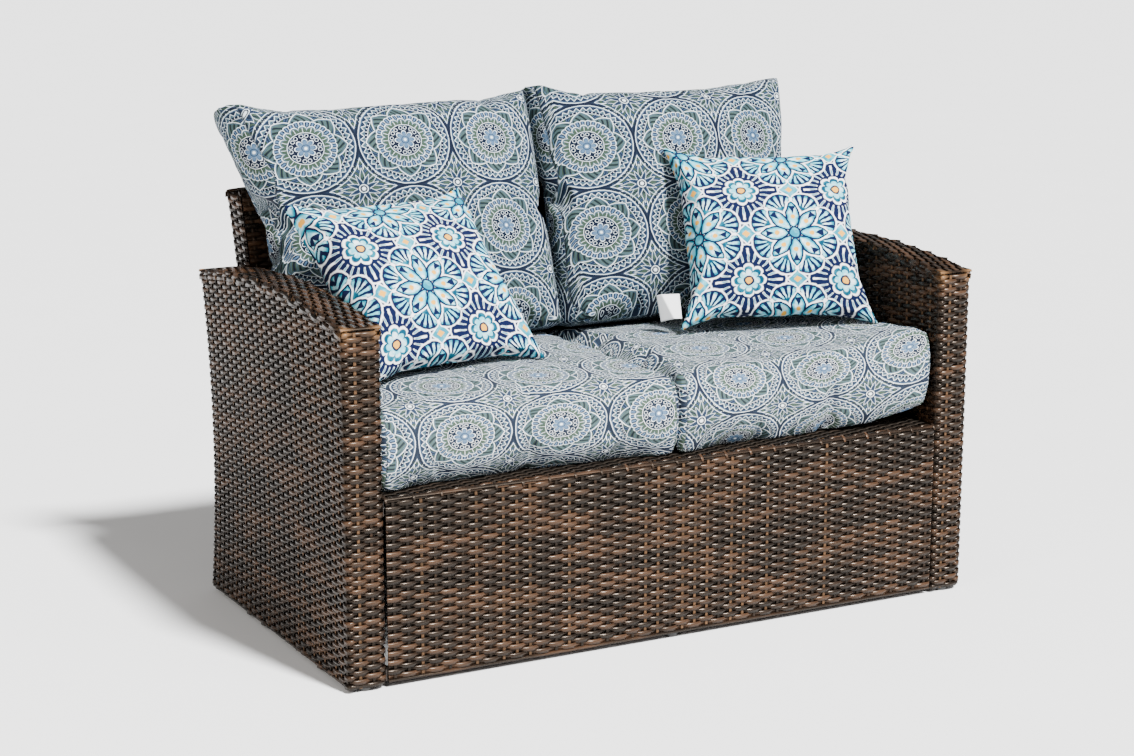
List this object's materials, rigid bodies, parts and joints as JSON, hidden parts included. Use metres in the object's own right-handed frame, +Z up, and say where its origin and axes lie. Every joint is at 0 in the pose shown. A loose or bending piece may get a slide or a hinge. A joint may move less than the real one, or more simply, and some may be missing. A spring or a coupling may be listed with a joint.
{
  "type": "patio loveseat",
  "caption": "Two-seat outdoor sofa with woven resin sides and skirt over a tube frame, loose seat and back cushions and two leaning throw pillows",
  "frame": {"origin": "on the ground under the middle of the whole seat's box", "axes": "+Z up, the front faces -Y, +X to the right as seen from the front"},
  "size_m": [1.25, 0.7184, 0.9423],
  "materials": {
    "wicker": "woven, satin",
    "frame_steel": "black powder coat",
    "zinc_hardware": "zinc plated",
    "foot_plastic": "matt black",
    "cushion_fabric": "printed outdoor polyester",
    "pillow_fabric": "printed outdoor polyester",
    "tag_cloth": "plain satin ribbon"
  },
  "bodies": {
    "frame": {"back_base_rails": "frame_steel", "back_front_weave": "wicker", "back_left_edge_weave": "wicker", "back_left_posts": "frame_steel", "back_rear_weave": "wicker", "back_right_edge_weave": "wicker", "back_right_posts": "frame_steel", "back_seat_rail": "frame_steel", "back_top_rails": "frame_steel", "back_top_weave": "wicker", "foot_plates": "frame_steel", "frame_bolts": "zinc_hardware", "frame_washers": "zinc_hardware", "front_centre_leg": "frame_steel", "front_skirt_weave": "wicker", "left_arm_base_tubes": "frame_steel", "left_arm_front_legs": "frame_steel", "left_arm_front_weave": "wicker", "left_arm_inner_weave": "wicker", "left_arm_outer_weave": "wicker", "left_arm_rear_legs": "frame_steel", "left_arm_rear_weave": "wicker", "left_arm_spacers": "frame_steel", "left_arm_top_tubes": "frame_steel", "left_arm_top_weave": "wicker", "right_arm_base_tubes": "frame_steel", "right_arm_front_legs": "frame_steel", "right_arm_front_weave": "wicker", "right_arm_inner_weave": "wicker", "right_arm_outer_weave": "wicker", "right_arm_rear_legs": "frame_steel", "right_arm_rear_weave": "wicker", "right_arm_spacers": "frame_steel", "right_arm_top_tubes": "frame_steel", "right_arm_top_weave": "wicker", "seat_centre_cross_tube": "frame_steel", "seat_deck_weave": "wicker", "seat_front_rail": "frame_steel", "seat_left_cross_tube": "frame_steel", "seat_left_rail": "frame_steel", "seat_rear_rail": "frame_steel", "seat_right_cross_tube": "frame_steel", "seat_right_rail": "frame_steel", "skirt_rail": "frame_steel", "threaded_inserts": "zinc_hardware"},
    "left_seat_pad": {"left_seat_cushion": "cushion_fabric"},
    "left_back_pad": {"left_back_cushion": "cushion_fabric"},
    "left_pillow": {"left_throw_pillow": "pillow_fabric"},
    "right_seat_pad": {"right_seat_cushion": "cushion_fabric"},
    "right_back_pad": {"right_back_cushion": "cushion_fabric"},
    "right_pillow": {"right_throw_pillow": "pillow_fabric", "pillow_tag": "tag_cloth"},
    "front_left_leveller": {"front_left_foot": "foot_plastic"},
    "front_centre_leveller": {"front_centre_foot": "foot_plastic"},
    "front_right_leveller": {"front_right_foot": "foot_plastic"},
    "rear_left_leveller": {"rear_left_foot": "foot_plastic"},
    "rear_right_leveller": {"rear_right_foot": "foot_plastic"}
  },
  "joints": [
    {"name": "left_seat_lift", "type": "slide", "parent": "frame", "child": "left_seat_pad", "axis": [0, 0, 1], "range_m": [0, 0.3]},
    {"name": "left_back_lift", "type": "slide", "parent": "left_seat_pad", "child": "left_back_pad", "axis": [0, 0, 1], "range_m": [0, 0.3]},
    {"name": "left_pillow_lift", "type": "slide", "parent": "left_back_pad", "child": "left_pillow", "axis": [0, 0, 1], "range_m": [0, 0.3]},
    {"name": "right_seat_lift", "type": "slide", "parent": "frame", "child": "right_seat_pad", "axis": [0, 0, 1], "range_m": [0, 0.3]},
    {"name": "right_back_lift", "type": "slide", "parent": "right_seat_pad", "child": "right_back_pad", "axis": [0, 0, 1], "range_m": [0, 0.3]},
    {"name": "right_pillow_lift", "type": "slide", "parent": "right_back_pad", "child": "right_pillow", "axis": [0, 0, 1], "range_m": [0, 0.3]},
    {"name": "front_left_foot_screw", "type": "slide", "parent": "frame", "child": "front_left_leveller", "axis": [0, 0, -1], "range_m": [0, 0.008]},
    {"name": "front_centre_foot_screw", "type": "slide", "parent": "frame", "child": "front_centre_leveller", "axis": [0, 0, -1], "range_m": [0, 0.008]},
    {"name": "front_right_foot_screw", "type": "slide", "parent": "frame", "child": "front_right_leveller", "axis": [0, 0, -1], "range_m": [0, 0.008]},
    {"name": "rear_left_foot_screw", "type": "slide", "parent": "frame", "child": "rear_left_leveller", "axis": [0, 0, -1], "range_m": [0, 0.008]},
    {"name": "rear_right_foot_screw", "type": "slide", "parent": "frame", "child": "rear_right_leveller", "axis": [0, 0, -1], "range_m": [0, 0.008]}
  ]
}
